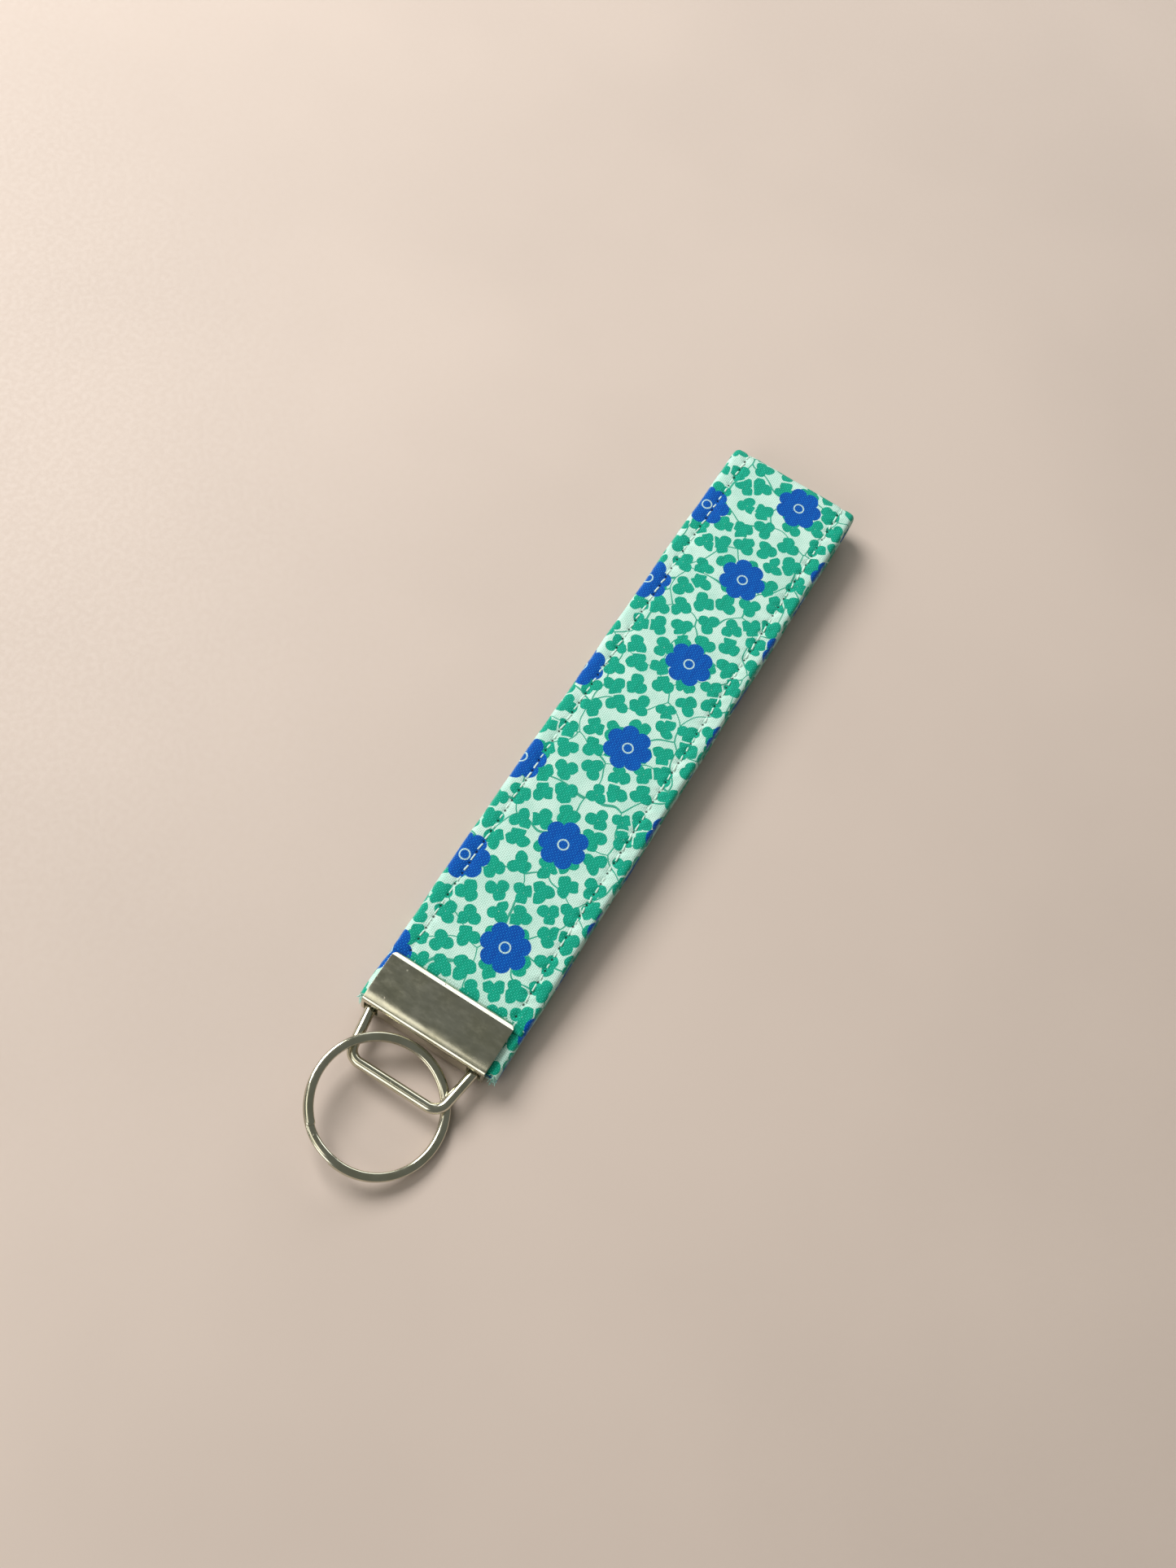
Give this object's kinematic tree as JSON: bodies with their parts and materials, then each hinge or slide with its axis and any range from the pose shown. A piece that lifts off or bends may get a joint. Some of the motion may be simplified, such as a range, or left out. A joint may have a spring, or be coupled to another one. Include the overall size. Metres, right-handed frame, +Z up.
{
  "type": "wristlet keychain",
  "caption": "Printed fabric wrist strap folded into a loop, crimped in a toothed metal clamp with a wire bail that carries a split key ring.",
  "frame": {"origin": "centre of the clamp's flat underside, on the floor", "axes": "+X along the strap from the clamp to the fold, +Y across the strap, +Z up out of the floor"},
  "size_m": [0.1682, 0.0286, 0.0099],
  "materials": {
    "nickel": "polished nickel plate, fine handling marks",
    "printed_fabric": "plain-weave cotton with a small floral print",
    "webbing": "undyed woven webbing",
    "thread": "white polyester sewing thread"
  },
  "bodies": {
    "base": {"clamp": "nickel", "sleeve_lower_front": "printed_fabric", "core_lower_front": "webbing", "sleeve_clamped_end": "printed_fabric", "core_clamped_end": "webbing", "topstitch_right_lower_front": "thread", "topstitch_left_lower_front": "thread"},
    "lower_back": {"sleeve_lower_back": "printed_fabric", "core_lower_back": "webbing", "topstitch_right_lower_back": "thread", "topstitch_left_lower_back": "thread"},
    "fold": {"sleeve_fold": "printed_fabric", "core_fold": "webbing", "topstitch_right_fold": "thread", "topstitch_left_fold": "thread"},
    "upper_front": {"sleeve_upper_front": "printed_fabric", "core_upper_front": "webbing", "topstitch_right_upper_front": "thread", "topstitch_left_upper_front": "thread"},
    "bail": {"bail": "nickel"},
    "ring": {"split_ring": "nickel"}
  },
  "joints": [
    {"name": "loop_open", "type": "hinge", "parent": "base", "child": "lower_back", "pos_m": [0.048, 0, 0.00115], "axis": [0, -1, 0], "range_deg": [0, 75]},
    {"name": "fold_level", "type": "hinge", "parent": "lower_back", "child": "fold", "pos_m": [0.122, 0, 0.00165], "axis": [0, -1, 0], "range_deg": [-75, 0]},
    {"name": "upper_tilt", "type": "hinge", "parent": "fold", "child": "upper_front", "pos_m": [0.0799, 0, 0.0064], "axis": [0, -1, 0], "range_deg": [0, 75]},
    {"name": "bail_swing", "type": "hinge", "parent": "base", "child": "bail", "pos_m": [-0.0034, 0, 0.0035], "axis": [0, 1, 0], "range_deg": [-20, 24]},
    {"name": "ring_spin", "type": "hinge", "parent": "bail", "child": "ring", "pos_m": [-0.01895, 0.00006, 0.00366], "axis": [0.022, -0.2096, 0.9775], "continuous": true}
  ],
  "couplings": [
    {"joint": "fold_level", "follows": "loop_open", "ratio": -1},
    {"joint": "upper_tilt", "follows": "loop_open", "ratio": 1}
  ]
}
